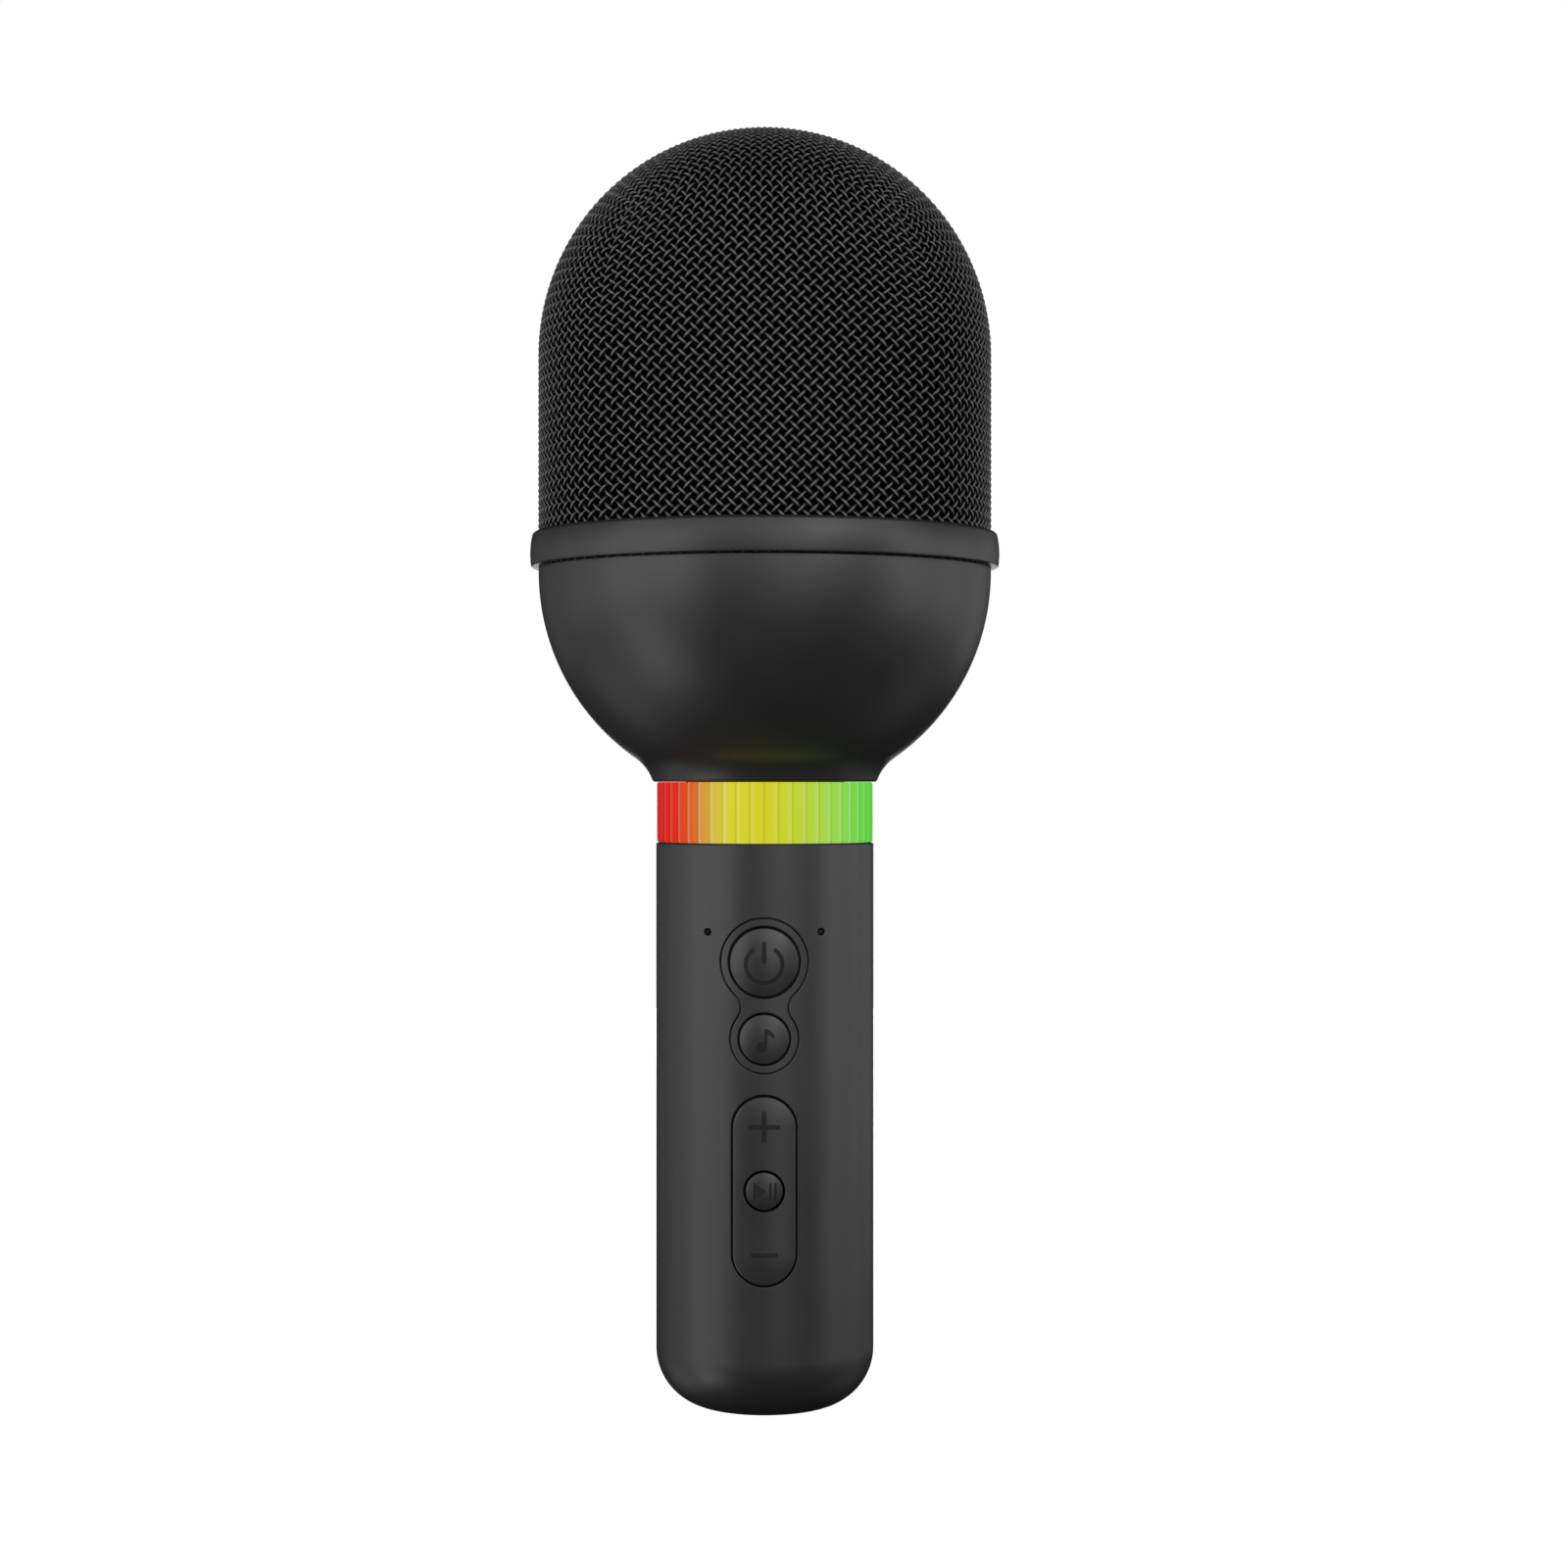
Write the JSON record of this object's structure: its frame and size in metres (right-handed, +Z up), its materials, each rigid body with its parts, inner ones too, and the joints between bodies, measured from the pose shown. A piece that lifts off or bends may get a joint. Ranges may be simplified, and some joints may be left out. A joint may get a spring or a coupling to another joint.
{
  "type": "karaoke microphone",
  "caption": "Hand-held wireless karaoke microphone: domed wire grille over a round speaker bowl, a lit ring at the neck and a straight handle with keys.",
  "frame": {"origin": "centre of the handle's flat base", "axes": "+Z up the handle to the grille, keys facing -Y, plus key above minus key, +X to the right of a person who looks at the keys"},
  "size_m": [0.0862, 0.0862, 0.2343],
  "materials": {
    "satin_black_plastic": "satin",
    "black_plastic": "matte",
    "clear_plastic": "gloss",
    "white_plastic": "satin",
    "ring_plastic": "satin",
    "black_wire": "satin",
    "steel": "satin",
    "copper_wire": "satin",
    "ferrite": "matte",
    "paper_cone": "matte",
    "black_foam": "matte",
    "black_rubber": "matte",
    "lead_sheath": "satin",
    "board_green": "satin",
    "cell_wrap": "satin"
  },
  "bodies": {
    "microphone_body": {"handle_shell": "satin_black_plastic", "key_bezel": "satin_black_plastic", "head_bowl": "satin_black_plastic", "status_light_left": "clear_plastic", "status_light_right": "clear_plastic", "light_ring": "ring_plastic", "led_strip": "white_plastic", "neck_sleeve": "black_plastic", "neck_nut": "steel", "main_board": "board_green", "charge_board": "board_green", "usb_socket": "steel", "board_screw_1": "steel", "board_screw_2": "steel", "amplifier_chip": "black_plastic", "inductor": "ferrite", "bluetooth_module": "steel", "battery_cell": "cell_wrap", "battery_cradle": "black_plastic", "speaker_baffle": "black_plastic", "speaker_frame": "steel", "speaker_yoke": "steel", "speaker_magnet": "ferrite", "speaker_top_plate": "steel", "speaker_spider": "paper_cone", "speaker_surround": "black_rubber", "capsule_bridge": "black_plastic", "capsule_boot": "black_rubber", "mic_capsule": "steel", "speaker_lead": "lead_sheath", "capsule_lead": "lead_sheath", "charge_lead": "lead_sheath", "speaker_screw_1": "steel", "speaker_screw_2": "steel", "speaker_screw_3": "steel", "speaker_screw_4": "steel", "power_switch": "black_plastic", "mode_switch": "black_plastic", "play_switch": "black_plastic", "plus_switch": "black_plastic", "minus_switch": "black_plastic"},
    "power_button": {"power_key": "satin_black_plastic", "power_plunger": "white_plastic"},
    "mode_button": {"mode_key": "satin_black_plastic", "mode_plunger": "white_plastic"},
    "play_button": {"play_key": "satin_black_plastic", "play_plunger": "white_plastic"},
    "rocker": {"volume_rocker": "satin_black_plastic"},
    "plus_contact": {"plus_plunger": "white_plastic"},
    "minus_contact": {"minus_plunger": "white_plastic"},
    "speaker_diaphragm": {"voice_coil": "copper_wire", "speaker_cone": "paper_cone", "dust_cap": "paper_cone"},
    "grille_seal": {"grille_gasket": "black_rubber"},
    "grille_head": {"grille_collar": "satin_black_plastic", "grille_hoop": "black_plastic", "grille_mesh": "black_wire", "foam_windscreen": "black_foam"}
  },
  "joints": [
    {"name": "power_press", "type": "slide", "parent": "microphone_body", "child": "power_button", "axis": [0, 1, 0], "range_m": [0, 0.0005], "stiffness_N_per_m": 1200, "springref_m": -0.001},
    {"name": "mode_press", "type": "slide", "parent": "microphone_body", "child": "mode_button", "axis": [0, 1, 0], "range_m": [0, 0.0005], "stiffness_N_per_m": 1200, "springref_m": -0.001},
    {"name": "play_press", "type": "slide", "parent": "microphone_body", "child": "play_button", "axis": [0, 1, 0], "range_m": [0, 0.0005], "stiffness_N_per_m": 1200, "springref_m": -0.001},
    {"name": "volume_rock", "type": "hinge", "parent": "microphone_body", "child": "rocker", "pos_m": [0, -0.0163, 0.0418], "axis": [1, 0, 0], "range_deg": [-2, 2], "stiffness_Nm_per_rad": 0.6},
    {"name": "plus_travel", "type": "slide", "parent": "microphone_body", "child": "plus_contact", "axis": [0, 1, 0], "range_m": [-0.0005, 0.0005]},
    {"name": "minus_travel", "type": "slide", "parent": "microphone_body", "child": "minus_contact", "axis": [0, 1, 0], "range_m": [-0.0005, 0.0005]},
    {"name": "speaker_excursion", "type": "slide", "parent": "microphone_body", "child": "speaker_diaphragm", "axis": [0, 0, 1], "range_m": [-0.0008, 0.0008], "stiffness_N_per_m": 1500, "deforming": ["speaker_spider", "speaker_surround"]},
    {"name": "grille_unscrew", "type": "hinge", "parent": "microphone_body", "child": "grille_seal", "pos_m": [0, 0, 0.15395], "axis": [0, 0, 1], "range_deg": [0, 720]},
    {"name": "grille_rise", "type": "slide", "parent": "grille_seal", "child": "grille_head", "axis": [0, 0, 1], "range_m": [0, 0.00301]}
  ],
  "couplings": [
    {"joint": "plus_travel", "follows": "volume_rock", "m_per_rad": -0.0126},
    {"joint": "minus_travel", "follows": "volume_rock", "m_per_rad": 0.0126},
    {"joint": "grille_rise", "follows": "grille_unscrew", "m_per_rad": 0.00023873}
  ]
}
